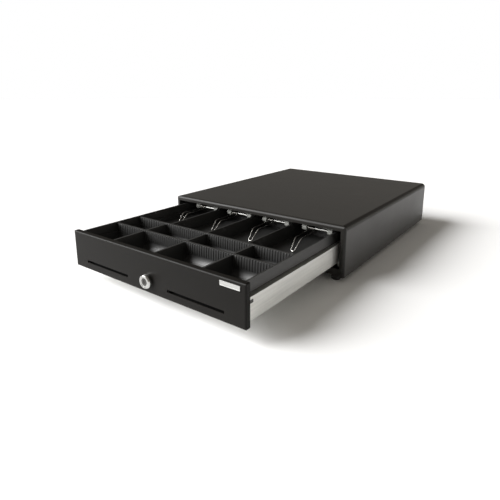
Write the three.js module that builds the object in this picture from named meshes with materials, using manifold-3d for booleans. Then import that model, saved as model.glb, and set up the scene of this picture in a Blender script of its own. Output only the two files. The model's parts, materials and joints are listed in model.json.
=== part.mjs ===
// Compact cash drawer: a folded steel housing on four feet, and a drawer on rollers that carries
// a lift-out tray with two rows of coin cups and four note compartments. Millimetres, +Z up.
// The front of the drawer faces -Y. It is shown open, against its stop.
import * as THREE from 'three';
import { mergeVertices } from 'three/addons/utils/BufferGeometryUtils.js';
import Module from 'manifold-3d';

const wasm = await Module();
wasm.setup();

// Driving dimensions. Y is measured from the housing's front face, Z from the floor.
const WIDTH = 350;
const DEPTH = 405;
const FOOT_HEIGHT = 9;
const CASE_HEIGHT = 81;
const SHEET = 1.5;
const THIN = 1.2;
const GAP = 0.3;
const EDGE_RADIUS = 7;
const RIM_SIDE = 7.5;
const RIM_TOP = 8;
const RIM_BEND = 4.5;
const LIP_HEIGHT = 12.4;
const TRAVEL = 225;
const FRONT_WIDTH = 327.5;
const FRONT_HEIGHT = 56.1;
const FRONT_RISE = 13.4;
const FRONT_DEPTH = 7.5;
const FRONT_BEND = 2.4;
const PAN_WIDTH = 324;
const PAN_RISE = 20.5;
const PAN_HEIGHT = 29.5;
const PAN_REAR = 93;
const TRAY_WIDTH = 313;
const TRAY_FRONT = -216.9;
const TRAY_REAR = 44;
const TRAY_TOP = 76.5;
const COLUMN_PITCH = 78;
const CUP_PITCH = 87;
const CLIP_Y = 25;
const CLIP_Z = 70;
const LOCK_X = 1.6;
const LOCK_Z = 40.3;
const LOCK_PROUD = 7;
const LOCK_DEPTH = 11;
const SLOT_Z = 35.4;
const SLOT_HEIGHT = 3.8;
const PUSH_STROKE = 25;

const CASE_BOTTOM = FOOT_HEIGHT;
const CASE_TOP = FOOT_HEIGHT + CASE_HEIGHT;
const FACE = -TRAVEL;
const FRONT_BOTTOM = CASE_BOTTOM + FRONT_RISE;
const FRONT_TOP = FRONT_BOTTOM + FRONT_HEIGHT;
const PAN_BOTTOM = CASE_BOTTOM + PAN_RISE;
const PAN_TOP = PAN_BOTTOM + PAN_HEIGHT;
const SIDES = { left: -1, right: 1 };

// Materials
const paint = (color, roughness, metalness) =>
  new THREE.MeshStandardMaterial({ color, roughness, metalness });
const darkPaint = paint(0x55544f, 0.55, 0.3);
const zincSteel = paint(0xb4b6af, 0.4, 0.7);
const plainSteel = paint(0x9a9b98, 0.3, 0.9);
const chrome = paint(0xd8d8d6, 0.12, 1);
const blackPlastic = paint(0x262629, 0.5, 0);
const greyPlastic = paint(0x9d9f9b, 0.5, 0);
const whitePlastic = paint(0xdfdfd8, 0.45, 0);
const copper = paint(0x9a5a32, 0.4, 0.6);
const rubber = paint(0x1d1d1d, 0.9, 0);

// Joining and cutting of closed meshes
function solidOf(geometry) {
  const bare = new THREE.BufferGeometry();
  bare.setAttribute('position', geometry.getAttribute('position'));
  bare.setIndex(geometry.getIndex());
  const merged = mergeVertices(bare, 1e-4);
  return new wasm.Manifold(new wasm.Mesh({
    numProp: 3,
    vertProperties: new Float32Array(merged.getAttribute('position').array),
    triVerts: new Uint32Array(merged.getIndex().array),
  }));
}

function geometryOf(solid) {
  const mesh = solid.getMesh();
  const geometry = new THREE.BufferGeometry();
  geometry.setAttribute('position', new THREE.BufferAttribute(mesh.vertProperties, 3));
  geometry.setIndex(new THREE.BufferAttribute(mesh.triVerts, 1));
  return geometry;
}

function join(...pieces) {
  return geometryOf(pieces.map(solidOf).reduce((sum, piece) => sum.add(piece)));
}

function meet(...pieces) {
  return geometryOf(pieces.map(solidOf).reduce((common, piece) => common.intersect(piece)));
}

function cut(body, ...tools) {
  return geometryOf(tools.map(solidOf).reduce((rest, tool) => rest.subtract(tool), solidOf(body)));
}

// Plain shapes, placed by their limits
function block(x0, x1, y0, y1, z0, z1) {
  const box = new THREE.BoxGeometry(Math.abs(x1 - x0), Math.abs(y1 - y0), Math.abs(z1 - z0));
  return box.translate((x0 + x1) / 2, (y0 + y1) / 2, (z0 + z1) / 2);
}

function rodX(x0, x1, y, z, radius, sides = 20) {
  const rod = new THREE.CylinderGeometry(radius, radius, Math.abs(x1 - x0), sides);
  return rod.rotateZ(Math.PI / 2).translate((x0 + x1) / 2, y, z);
}

function rodY(x, y0, y1, z, radius, sides = 20) {
  const rod = new THREE.CylinderGeometry(radius, radius, Math.abs(y1 - y0), sides);
  return rod.translate(x, (y0 + y1) / 2, z);
}

function rodZ(x, y, z0, z1, radius, sides = 20) {
  const rod = new THREE.CylinderGeometry(radius, radius, Math.abs(z1 - z0), sides);
  return rod.rotateX(Math.PI / 2).translate(x, y, (z0 + z1) / 2);
}

const lift = (shape, depth, curveSegments) =>
  new THREE.ExtrudeGeometry(shape, { depth, bevelEnabled: false, curveSegments });

// An outline drawn in X and Z, drawn out along Y
function alongY(shape, y0, y1, curveSegments = 6) {
  return lift(shape, y1 - y0, curveSegments).rotateX(Math.PI / 2).translate(0, y1, 0);
}

// An outline drawn in Y and Z, drawn out along X
function alongX(shape, x0, x1, curveSegments = 6) {
  const turn = new THREE.Matrix4().set(0, 0, 1, x0, 1, 0, 0, 0, 0, 1, 0, 0, 0, 0, 0, 1);
  return lift(shape, x1 - x0, curveSegments).applyMatrix4(turn);
}

// An outline drawn in X and Y, drawn out along Z
function alongZ(shape, z0, z1, curveSegments = 6) {
  return lift(shape, z1 - z0, curveSegments).translate(0, 0, z0);
}

const outline = (...points) => new THREE.Shape(points.map(([u, v]) => new THREE.Vector2(u, v)));

// A rectangle whose corners are rounded: the two low ones, the two high ones, or the two at its start
function bentOutline(u0, u1, v0, v1, low, high, start = null) {
  const radii = start === null ? [low, low, high, high] : [start, 0, 0, start];
  const shape = new THREE.Shape();
  const corners = [[u0, v0, 1, 1], [u1, v0, -1, 1], [u1, v1, -1, -1], [u0, v1, 1, -1]];
  corners.forEach(([u, v, du, dv], i) => {
    const radius = radii[i];
    if (radius === 0) {
      shape.lineTo(u, v);
    } else {
      const turn = Math.PI + (i * Math.PI) / 2;
      shape.absarc(u + du * radius, v + dv * radius, radius, turn, turn + Math.PI / 2, false);
    }
  });
  return shape;
}

// A solid of revolution about Z, from points of radius and height
function turned(...points) {
  const profile = points.map(([radius, height]) => new THREE.Vector2(radius, height));
  return new THREE.LatheGeometry(profile, 18).rotateX(Math.PI / 2);
}

function wire(curve, radius, steps, sides = 6) {
  const ring = [];
  for (let i = 0; i < sides; i += 1) {
    const angle = (2 * Math.PI * i) / sides;
    ring.push(new THREE.Vector2(radius * Math.cos(angle), radius * Math.sin(angle)));
  }
  return new THREE.ExtrudeGeometry(new THREE.Shape(ring), { steps, extrudePath: curve });
}

class Helix extends THREE.Curve {
  constructor(start, axis, length, radius, turns) {
    super();
    Object.assign(this, { start, axis, length, radius, turns });
  }

  getPoint(t) {
    const angle = 2 * Math.PI * this.turns * t;
    const across = this.radius * Math.cos(angle);
    const up = this.radius * Math.sin(angle);
    const along = this.length * t;
    const offset = this.axis === 'x' ? [along, across, up] : [across, along, up];
    return new THREE.Vector3(...offset).add(this.start);
  }
}

// The arch of the housing's section: two sides and a top with round long edges
function archOutline(half, bottom, top, radius) {
  const arch = new THREE.Shape();
  arch.moveTo(-half, bottom);
  arch.lineTo(half, bottom);
  arch.lineTo(half, top - radius);
  arch.absarc(half - radius, top - radius, radius, 0, Math.PI / 2, false);
  arch.lineTo(-half + radius, top);
  arch.absarc(-half + radius, top - radius, radius, Math.PI / 2, Math.PI, false);
  return arch;
}

// The space inside an arch whose front edge is bent round
function archBody(inset, front, bottom, back) {
  const half = HALF - inset;
  const top = CASE_TOP - inset;
  const bend = RIM_BEND - inset;
  const arch = archOutline(half, bottom, top, EDGE_RADIUS - inset);
  const plan = bentOutline(-half, half, front, back + 1, bend, 0);
  const profile = new THREE.Shape();
  profile.moveTo(front, bottom - 1);
  profile.lineTo(back + 1, bottom - 1);
  profile.lineTo(back + 1, top);
  profile.absarc(front + bend, top - bend, bend, Math.PI / 2, Math.PI, false);
  return meet(alongY(arch, front, back), alongZ(plan, bottom - 1, top + 1),
    alongX(profile, -half - 1, half + 1));
}

const HALF = WIDTH / 2;
const INNER = HALF - SHEET;
const BASE_FLANGE = 9;
const REAR_FLANGE = 12;
const PANEL_Y = DEPTH - 3.5;
const FLOOR_TOP = CASE_BOTTOM + SHEET + GAP + SHEET;
const SCREW_X = HALF - SHEET - REAR_FLANGE / 2;
const SCREW_Z = [CASE_BOTTOM + 11, CASE_TOP - 14];

// Shell: one sheet folded over the top and both sides, its front edge bent round into a rim
function shellGeometry() {
  const skin = archBody(0, 0, CASE_BOTTOM, DEPTH);
  const space = archBody(SHEET, SHEET, CASE_BOTTOM + SHEET, DEPTH + 1);
  const mouth = block(-HALF + RIM_SIDE, HALF - RIM_SIDE, -1, RIM_BEND + 1, CASE_BOTTOM - 1,
    CASE_TOP - RIM_TOP);
  const underside = block(-HALF + BASE_FLANGE, HALF - BASE_FLANGE, -1, DEPTH + 1, CASE_BOTTOM - 1,
    CASE_BOTTOM + SHEET + 1);
  const flanges = Object.values(SIDES).map((side) =>
    block(side * (INNER - REAR_FLANGE), side * (INNER + 0.5), PANEL_Y - GAP - SHEET,
      PANEL_Y - GAP, CASE_BOTTOM + 0.5, CASE_TOP - EDGE_RADIUS));
  const holes = screwPlaces().map(([x, z]) => rodY(x, PANEL_Y - 5, PANEL_Y + 5, z, 1.9, 12));
  return cut(join(cut(skin, space, mouth, underside), ...flanges), ...holes);
}

const screwPlaces = () => Object.values(SIDES).flatMap((side) =>
  SCREW_Z.map((z) => [side * SCREW_X, z]));

// Floor of the housing: it lies on the shell's bottom flanges, and its front edge turns up as the
// lower rim. A small keeper stands behind the rim for the lock's cam.
function baseGeometry() {
  const floorBottom = CASE_BOTTOM + SHEET + GAP;
  const lipFront = SHEET + GAP;
  const profile = outline([lipFront, floorBottom], [PANEL_Y - 3, floorBottom], [PANEL_Y - 3, FLOOR_TOP],
    [lipFront + SHEET, FLOOR_TOP], [lipFront + SHEET, CASE_BOTTOM + LIP_HEIGHT],
    [lipFront, CASE_BOTTOM + LIP_HEIGHT]);
  const keeper = block(LOCK_X - 14, LOCK_X + 14, LOCK_DEPTH - 1.8, LOCK_DEPTH - 0.3, FLOOR_TOP - 0.5,
    CASE_BOTTOM + LIP_HEIGHT);
  const corners = Object.values(SIDES).map((side) =>
    block(side * (HALF - RIM_BEND - GAP), side * HALF, 0, RIM_BEND + GAP, floorBottom - 1,
      CASE_BOTTOM + LIP_HEIGHT + 1));
  return cut(join(alongX(profile, -INNER + GAP, INNER - GAP), keeper), ...corners);
}

const SOCKET = { x: 110, z: 34, width: 16, height: 14, depth: 16 };

function rearPanelGeometry() {
  const half = INNER - GAP;
  const bottom = CASE_BOTTOM + SHEET + GAP;
  const panel = archOutline(half, bottom, CASE_TOP - SHEET - GAP, EDGE_RADIUS - SHEET);
  const stiffener = block(-140, 140, PANEL_Y - 10, PANEL_Y + 0.5, CASE_TOP - 5, CASE_TOP - 3.5);
  const holes = screwPlaces().map(([x, z]) => rodY(x, PANEL_Y - 5, PANEL_Y + 5, z, 1.9, 12));
  const window = block(SOCKET.x - SOCKET.width / 2 - GAP, SOCKET.x + SOCKET.width / 2 + GAP,
    PANEL_Y - 5, PANEL_Y + 5, SOCKET.z - SOCKET.height / 2 - GAP, SOCKET.z + SOCKET.height / 2 + GAP);
  return cut(join(alongY(panel, PANEL_Y, PANEL_Y + SHEET), stiffener), window, ...holes);
}

// Modular socket for the printer's drive lead, with the notch for the plug's catch
function socketGeometry() {
  const { x, z, width, height, depth } = SOCKET;
  const face = PANEL_Y + SHEET + 1;
  const body = block(x - width / 2, x + width / 2, face - depth, face, z - height / 2, z + height / 2);
  const mouth = block(x - 5, x + 5, face - 12, face + 1, z - 3.5, z + 3.5);
  const catchNotch = block(x - 3, x + 3, face - 12, face + 1, z - 5.5, z - 3);
  return cut(body, mouth, catchNotch);
}

const rearScrewGeometry = (x, z) => {
  const head = rodY(x, PANEL_Y + SHEET + GAP, PANEL_Y + SHEET + 1.9, z, 3.4, 16);
  return join(head, rodY(x, PANEL_Y - 7, PANEL_Y + SHEET + 1, z, 1.5, 12));
};

const FOOT_PLACES = { front: 14, rear: DEPTH - 18 };
const footGeometry = () => turned([0, 0], [5.6, 0], [7, 1.2], [7, FOOT_HEIGHT], [3, FOOT_HEIGHT],
  [3, FOOT_HEIGHT + SHEET], [0, FOOT_HEIGHT + SHEET]);

// Rollers and runners. The rear rollers turn on pins on the pan, inside the housing's runners. The
// front rollers turn on pins on the runners, under the pan's bottom edge.
const RUNNER = { inner: PAN_WIDTH / 2 + 1.8, outer: INNER - GAP, front: 14, rear: 334, wall: 1.5 };
const REAR_ROLLER = { radius: 7, y: 85, z: 34.2, x0: PAN_WIDTH / 2 + 2.2, x1: PAN_WIDTH / 2 + 8.8 };
const FRONT_ROLLER = { radius: 6, y: 22, z: PAN_BOTTOM - GAP - 6, x0: 157.5, x1: 165.2 };

function runnerGeometry(side) {
  const { inner, outer, front, rear, wall } = RUNNER;
  const low = REAR_ROLLER.z - REAR_ROLLER.radius - GAP;
  const high = REAR_ROLLER.z + REAR_ROLLER.radius + GAP;
  const web = block(side * (outer - wall), side * outer, front, rear, low - wall, high + wall);
  const track = block(side * (inner + 4), side * outer, front + 16, rear, low - wall, low);
  const cover = block(side * inner, side * outer, front, rear, high, high + wall);
  const ear = block(side * (outer - wall), side * outer, front, front + 16, CASE_BOTTOM + 6, low);
  const pin = rodX(side * (FRONT_ROLLER.x0 - 0.5), side * (outer - 0.5), FRONT_ROLLER.y,
    FRONT_ROLLER.z, 2.2, 16);
  return join(web, track, cover, ear, pin);
}

function rollerGeometry(side, { radius, y, z, x0, x1 }, pinRadius) {
  const tyre = rodX(side * x0, side * x1, y, z, radius, 32);
  return cut(tyre, rodX(side * (x0 - 1), side * (x1 + 1), y, z, pinRadius + GAP, 16));
}

// Drawer front: a shallow folded pan of painted steel, open at the back
const MEDIA_SLOTS = [[-134, -40], [37.5, 132]];

// Folded front: its face turns back along all four edges with a small bend
function frontGeometry() {
  const half = FRONT_WIDTH / 2;
  const back = FACE + FRONT_DEPTH;
  const upright = bentOutline(-half, half, FRONT_BOTTOM, FRONT_TOP, 2, 2);
  const plan = bentOutline(-half, half, FACE, back + 5, FRONT_BEND, 0);
  const profile = bentOutline(FACE, back + 5, FRONT_BOTTOM, FRONT_TOP, 0, 0, FRONT_BEND);
  const skin = meet(alongY(upright, FACE, back), alongZ(plan, FRONT_BOTTOM - 1, FRONT_TOP + 1),
    alongX(profile, -half - 1, half + 1));
  const hollow = block(-half + THIN, half - THIN, FACE + SHEET, back + 1,
    FRONT_BOTTOM + THIN, FRONT_TOP - THIN);
  const slots = MEDIA_SLOTS.map(([x0, x1]) =>
    block(x0, x1, FACE - 1, FACE + SHEET + 1, SLOT_Z - SLOT_HEIGHT / 2, SLOT_Z + SLOT_HEIGHT / 2));
  const lockHole = rodY(LOCK_X, FACE - 1, FACE + SHEET + 1, LOCK_Z, 8.4, 24);
  return cut(skin, hollow, ...slots, lockHole);
}

const labelGeometry = () => block(126.5, 156, FACE - GAP - 0.8, FACE - GAP, 68.4, 74.4);

// Pan: zinc-coated steel, with inward flanges on its sides that carry the tray, a notch at the lock,
// and a pin for a roller near the back of each side
const PAN_NOTCH = { half: 25, rear: -205 };
const PLUG_HOLE = { y: -213.4, z: PAN_TOP - 5.6, long: 8, high: 4.6 };

function panGeometry() {
  const half = PAN_WIDTH / 2;
  const front = FACE + SHEET + GAP;
  const flange = 9;
  const section = outline([-half, PAN_BOTTOM], [half, PAN_BOTTOM], [half, PAN_TOP],
    [half - flange, PAN_TOP], [half - flange, PAN_TOP - THIN], [half - THIN, PAN_TOP - THIN],
    [half - THIN, PAN_BOTTOM + THIN], [-half + THIN, PAN_BOTTOM + THIN],
    [-half + THIN, PAN_TOP - THIN], [-half + flange, PAN_TOP - THIN], [-half + flange, PAN_TOP],
    [-half, PAN_TOP]);
  const rearWall = block(-half + 0.5, half - 0.5, PAN_REAR - THIN, PAN_REAR, PAN_BOTTOM + 0.5, PAN_TOP);
  const pins = Object.values(SIDES).map((side) => rodX(side * (half - 0.6),
    side * REAR_ROLLER.x1, REAR_ROLLER.y, REAR_ROLLER.z, 2.5, 16));
  const notch = block(LOCK_X - PAN_NOTCH.half, LOCK_X + PAN_NOTCH.half, front - 1, PAN_NOTCH.rear,
    PAN_BOTTOM - 1, PAN_BOTTOM + THIN + 1);
  const { y, z, long, high } = PLUG_HOLE;
  const plugHoles = block(-half - 1, half + 1, y - long / 2, y + long / 2, z - high / 2, z + high / 2);
  return cut(join(alongY(section, front, PAN_REAR), rearWall, ...pins), notch, plugHoles);
}

// Black snap plug in each side of the pan, just behind the drawer front
function plugGeometry(side) {
  const { y, z, long, high } = PLUG_HOLE;
  const reach = long / 2 - GAP;
  const rise = high / 2 - GAP;
  const stem = block(side * (PAN_WIDTH / 2 - 4), side * (PAN_WIDTH / 2 + 0.3), y - reach, y + reach,
    z - rise, z + rise);
  const barb = block(side * (PAN_WIDTH / 2 - 4), side * (PAN_WIDTH / 2 - THIN - GAP), y - reach - 1,
    y + reach + 1, z - rise, z + rise);
  return join(stem, barb);
}

// Strike on the back of the pan: two ears with an upright pin, which the latch hooks
const STRIKE = { y: PAN_REAR + 12, radius: 2.5, low: 38, high: 57 };

function strikeGeometry() {
  const { y, radius, low, high } = STRIKE;
  const back = PAN_REAR + GAP;
  const plate = block(-14, 14, back, back + SHEET, low, high);
  const lowEar = block(-7, 7, back, y + 4, low, low + SHEET);
  const highEar = block(-7, 7, back, y + 4, high - SHEET, high);
  return join(plate, lowEar, highEar, rodZ(0, y, low + 0.5, high - 0.5, radius, 16));
}

// Cam lock in the middle of the drawer front
function lockBodyGeometry() {
  const bezel = [[9.75, 0.3], [9.75, LOCK_PROUD - 2.5], [8.6, LOCK_PROUD], [5, LOCK_PROUD]];
  const barrel = [[5, -LOCK_DEPTH], [8, -LOCK_DEPTH], [8, 0.3]];
  const body = turned(...barrel, ...bezel, barrel[0]);
  return body.rotateX(Math.PI / 2).translate(LOCK_X, FACE, LOCK_Z);
}

function lockNutGeometry() {
  const nut = rodY(LOCK_X, FACE + SHEET + GAP, FACE + SHEET + GAP + 3.5, LOCK_Z, 11, 6);
  return cut(nut, rodY(LOCK_X, FACE, FACE + 10, LOCK_Z, 8.3, 24));
}

function lockPlugGeometry() {
  const plug = rodY(LOCK_X, FACE - LOCK_PROUD + 0.4, FACE + LOCK_DEPTH, LOCK_Z, 4.7, 24);
  const keyway = block(LOCK_X - 0.7, LOCK_X + 0.7, FACE - LOCK_PROUD - 1, FACE - LOCK_PROUD + 7,
    LOCK_Z - 3.2, LOCK_Z + 3.2);
  return cut(plug, keyway);
}

const CAM = { y0: FACE + LOCK_DEPTH + GAP, thickness: 1.5, reach: 22.5, half: 5 };

function camGeometry() {
  const { y0, thickness, reach, half } = CAM;
  const arm = block(LOCK_X, LOCK_X + reach, y0, y0 + thickness, LOCK_Z - half, LOCK_Z + half);
  const eye = rodY(LOCK_X, y0, y0 + thickness, LOCK_Z, 7, 24);
  return cut(join(arm, eye), rodY(LOCK_X, y0 - 1, y0 + thickness + 1, LOCK_Z, 2.4, 12));
}

function camScrewGeometry() {
  const { y0, thickness } = CAM;
  const head = rodY(LOCK_X, y0 + thickness + GAP, y0 + thickness + 2.8, LOCK_Z, 4, 16);
  return join(head, rodY(LOCK_X, y0, y0 + thickness + 1, LOCK_Z, 2, 12));
}

// Tray: black moulding. Its rim band stands on the pan's flanges, and below it the coin rows hang
// deeper than the note compartments, which leaves room under the tray for larger notes.
const BAND_BOTTOM = PAN_TOP + 2;
const WALL_TOP = TRAY_TOP - 1.2;
const COIN_BOTTOM = 42;
const COIN_FLOOR = COIN_BOTTOM + 2.4;
const NOTE_BOTTOM = 51.6;
const NOTE_FLOOR = NOTE_BOTTOM + 2.4;
const BODY_HALF = 152.4;
const TRAY_HALF = TRAY_WIDTH / 2;
const WALL = 2.2;
const MIDDLE_WALL = [-154.5, -151.5];
const NOTE_WALL = [-109, -106];
const SCOOP = 14;
const CUP_FRONT = -209;
const COIN_ROWS = [
  { y0: CUP_FRONT + WALL, top: TRAY_FRONT + WALL, y1: MIDDLE_WALL[0] },
  { y0: MIDDLE_WALL[1], top: MIDDLE_WALL[1], y1: NOTE_WALL[0] },
];

// A coin row's section, drawn in a given distance from its walls: a scoop with round bottom corners
function rowOutline({ y0, top, y1 }, inset, height) {
  const low = COIN_FLOOR + inset;
  const radius = SCOOP - inset;
  const shape = new THREE.Shape();
  shape.moveTo(top + inset, height);
  shape.lineTo(top + inset, BAND_BOTTOM + 1 + inset);
  if (top !== y0) {
    shape.lineTo(y0 + inset, BAND_BOTTOM + 1 + inset);
  }
  shape.lineTo(y0 + inset, low + radius);
  shape.absarc(y0 + inset + radius, low + radius, radius, Math.PI, 1.5 * Math.PI, false);
  shape.absarc(y1 - inset - radius, low + radius, radius, -Math.PI / 2, 0, false);
  shape.lineTo(y1 - inset, height);
  return shape;
}

const columnCentres = [-1.5, -0.5, 0.5, 1.5].map((k) => k * COLUMN_PITCH);

function trayGeometry() {
  const body = join(
    block(-TRAY_HALF, TRAY_HALF, TRAY_FRONT, TRAY_REAR, BAND_BOTTOM, TRAY_TOP),
    block(-TRAY_HALF + 1.7, TRAY_HALF - 1.7, TRAY_FRONT + 2, TRAY_REAR, PAN_TOP + GAP, BAND_BOTTOM + 1),
    block(-BODY_HALF, BODY_HALF, CUP_FRONT, NOTE_WALL[1], COIN_BOTTOM, BAND_BOTTOM),
    block(-BODY_HALF, BODY_HALF, NOTE_WALL[0], TRAY_REAR - 2, NOTE_BOTTOM, BAND_BOTTOM));
  const rows = COIN_ROWS.map((row) =>
    alongX(rowOutline(row, 0, TRAY_TOP + 1), -BODY_HALF + WALL, BODY_HALF - WALL));
  const columnHalf = (COLUMN_PITCH - WALL) / 2;
  const columns = columnCentres.map((x) => block(Math.max(x - columnHalf, -BODY_HALF + WALL),
    Math.min(x + columnHalf, BODY_HALF - WALL), NOTE_WALL[1], TRAY_REAR - 2 - WALL, NOTE_FLOOR,
    TRAY_TOP + 1));
  const lower = BAND_BOTTOM + 1;
  const sideCuts = Object.values(SIDES).flatMap((side) => [
    [COIN_ROWS[0].top, COIN_ROWS[0].y1], [COIN_ROWS[1].y0, COIN_ROWS[1].y1],
    [NOTE_WALL[1], TRAY_REAR - WALL],
  ].map(([y0, y1]) => block(side * (BODY_HALF - 8), side * (TRAY_HALF - WALL), y0, y1, lower, TRAY_TOP + 1)));
  const lowering = block(-TRAY_HALF + WALL, TRAY_HALF - WALL, TRAY_FRONT + WALL, TRAY_REAR - WALL,
    WALL_TOP, TRAY_TOP + 1);
  return cut(body, ...rows, ...columns, ...sideCuts, lowering);
}

const coinDividerGeometry = (row, x) =>
  alongX(rowOutline(row, GAP, WALL_TOP - 1), x - 1.5, x + 1.5);

// Note clips: a sprung wire form with a hairpin foot, on an axle between two lugs
const LUG = { inner: 18.5, outer: 26.5, reach: 5.2 };

function clipBracketGeometry(x) {
  const rear = TRAY_REAR - 2 - WALL - GAP;
  const lug = new THREE.Shape();
  lug.moveTo(rear, CLIP_Z - LUG.reach);
  lug.lineTo(rear, CLIP_Z + LUG.reach);
  lug.lineTo(CLIP_Y, CLIP_Z + LUG.reach);
  lug.absarc(CLIP_Y, CLIP_Z, LUG.reach, Math.PI / 2, 1.5 * Math.PI, false);
  const lugs = Object.values(SIDES).map((side) => {
    const ends = [side * LUG.inner, side * LUG.outer].sort((a, b) => a - b);
    return alongX(lug, x + ends[0], x + ends[1]);
  });
  const bar = block(x - LUG.outer + 1, x + LUG.outer - 1, rear - 5, rear, CLIP_Z - 5, CLIP_Z + 2);
  return cut(join(bar, ...lugs), rodX(x - 30, x + 30, CLIP_Y, CLIP_Z, 2.3, 12));
}

const clipAxleGeometry = (x) => rodX(x - LUG.outer - 0.3, x + LUG.outer + 0.3, CLIP_Y, CLIP_Z, 2, 12);

const FOOT_Y = -52;
const KNEE_Y = -36;

function noteClipGeometry(x) {
  const low = CLIP_Z - 3.3;
  const knee = CLIP_Z + 1.5;
  const path = [
    [-15.5, CLIP_Y + 2, low], [-15, CLIP_Y - 11, low + 0.5], [-10, -12, low + 2.4],
    [-5, KNEE_Y, knee], [-4.6, KNEE_Y - 3.4, knee - 1.6], [-4.2, FOOT_Y + 2, NOTE_FLOOR + 4.2],
    [-2.4, FOOT_Y, NOTE_FLOOR + 1.6], [2.4, FOOT_Y, NOTE_FLOOR + 1.6],
    [4.2, FOOT_Y + 2, NOTE_FLOOR + 4.2], [4.6, KNEE_Y - 3.4, knee - 1.6], [5, KNEE_Y, knee],
    [0.5, -12, low + 2.4], [-5.5, CLIP_Y - 11, low + 0.5], [-6, CLIP_Y + 2, low],
  ].map(([dx, y, z]) => new THREE.Vector3(x + dx, y, z));
  const strand = wire(new THREE.CatmullRomCurve3(path, false, 'centripetal'), 0.9, 34, 5);
  const coil = rodX(x - 17.5, x - 4, CLIP_Y, CLIP_Z, 3.9, 16);
  return cut(join(coil, strand), rodX(x - 18, x - 3, CLIP_Y, CLIP_Z, 2.3, 12));
}

// Release mechanism behind the closed drawer, on a bridge over the housing's floor
const BRIDGE = { x0: -104, x1: 96, y0: 338, y1: 398, top: 38 };
const PIVOT = { x: 12, y: 362, z0: 45.5, z1: 48.5 };
const COIL = { y: 382, z: 49, x0: -43, x1: -5 };
const EJECTOR = { x: 70, z: 47, mouth: 342 };
const CLOSED_REAR = PAN_REAR + TRAVEL;

function bridgeGeometry() {
  const { x0, x1, y0, y1, top } = BRIDGE;
  const bottom = FLOOR_TOP + GAP;
  const profile = outline([x0 - 10, bottom], [x0 + SHEET, bottom], [x0 + SHEET, top - SHEET],
    [x1 - SHEET, top - SHEET], [x1 - SHEET, bottom], [x1 + 10, bottom], [x1 + 10, bottom + SHEET],
    [x1, bottom + SHEET], [x1, top], [x0, top], [x0, bottom + SHEET], [x0 - 10, bottom + SHEET]);
  return alongY(profile, y0, y1);
}

const pivotGeometry = () => turned([0, BRIDGE.top + GAP], [5, BRIDGE.top + GAP],
  [5, PIVOT.z0 - GAP], [3, PIVOT.z0 - GAP], [3, PIVOT.z1 + GAP], [6, PIVOT.z1 + GAP],
  [6, PIVOT.z1 + 2.8], [0, PIVOT.z1 + 2.8]).translate(PIVOT.x, PIVOT.y, 0);

function latchGeometry() {
  const pin = CLOSED_REAR + STRIKE.y - PAN_REAR;
  const { x, y, z0, z1 } = PIVOT;
  const plan = outline([x + 7, y], [x + 5, COIL.y + 4], [x - 2, COIL.y + 4], [x - 7, y],
    [3.2, pin + 5], [3.2, pin - 2.9], [-1.8, pin - 2.9], [4, pin - 9], [10, pin - 9], [12, pin]);
  const tab = block(x - 2, x - 0.5, COIL.y - 4.5, COIL.y + 4, z0, COIL.z + 6);
  const neckSlot = block(x - 7, x + 0.4, COIL.y - 2.6, COIL.y + 2.6, COIL.z - 2.6, COIL.z + 8);
  const clearance = block(x - 0.5, x + 9, COIL.y - 5.5, COIL.y + 6, z0 - 1, z1 + 1);
  const lever = cut(join(cut(alongZ(plan, z0, z1), clearance), tab), neckSlot);
  return cut(lever, rodZ(x, y, z0 - 1, z1 + 1, 3.3, 20));
}

function solenoidFrameGeometry() {
  const { y, z, x0, x1 } = COIL;
  const low = BRIDGE.top + GAP;
  const plate = block(x0 - 2, x1 + 2, y - 10, y + 10, low, low + 1.8);
  const ends = [[x0 - 2, x0 - 0.2], [x1 + 0.2, x1 + 2]].map(([a, b]) =>
    block(a, b, y - 10, y + 10, low, z + 9));
  return cut(join(plate, ...ends), rodX(x1 - 5, x1 + 5, y, z, 4.4, 20));
}

const solenoidCoilGeometry = () => cut(rodX(COIL.x0 + GAP, COIL.x1 - GAP, COIL.y, COIL.z, 8.2, 28),
  rodX(COIL.x0 - 1, COIL.x1 + 1, COIL.y, COIL.z, 4.4, 20));

function plungerGeometry() {
  const { y, z } = COIL;
  const tab = PIVOT.x - 2;
  return join(rodX(-30, tab - 5, y, z, 4, 20), rodX(tab - 6, tab + 4.5, y, z, 2, 14),
    rodX(tab + 4, tab + 6, y, z, 4.2, 20));
}

// Return spring between the solenoid's frame and the latch's tab
const latchSpringGeometry = () => wire(new Helix(
  new THREE.Vector3(COIL.x1 + 3.2, COIL.y, COIL.z), 'x', PIVOT.x - 3.2 - COIL.x1 - 3.2, 5.2, 4),
  0.5, 36, 4);

function ejectorGuideGeometry() {
  const { x, z, mouth } = EJECTOR;
  const low = BRIDGE.top + GAP;
  const tube = rodY(x, mouth, 396, z, 7.5, 24);
  const base = block(x - 10, x + 10, mouth + 3, 396, low, z - 3);
  return cut(join(tube, base), rodY(x, mouth - 1, 390, z, 4.4, 20));
}

function pusherGeometry() {
  const { x, z } = EJECTOR;
  const face = CLOSED_REAR + GAP - PUSH_STROKE;
  return join(rodY(x, face, face + 4, z, 8, 24), rodY(x, face + 3, face + 66, z, 4, 20));
}

const ejectorSpringGeometry = () => wire(new Helix(
  new THREE.Vector3(EJECTOR.x, CLOSED_REAR + GAP - PUSH_STROKE + 5, EJECTOR.z), 'y',
  EJECTOR.mouth - CLOSED_REAR + PUSH_STROKE - 6.3, 5.9, 7), 0.6, 63, 4);

// Drawer-closed sensor: a small switch with a leaf that the pan's back presses
const SWITCH = { x0: -98, x1: -78, y0: 329, y1: 341, z0: BRIDGE.top + GAP, z1: 49 };
const LEAF = { x: -98.5, y: 326, length: 25, angle: -30 * (Math.PI / 180) };

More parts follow.
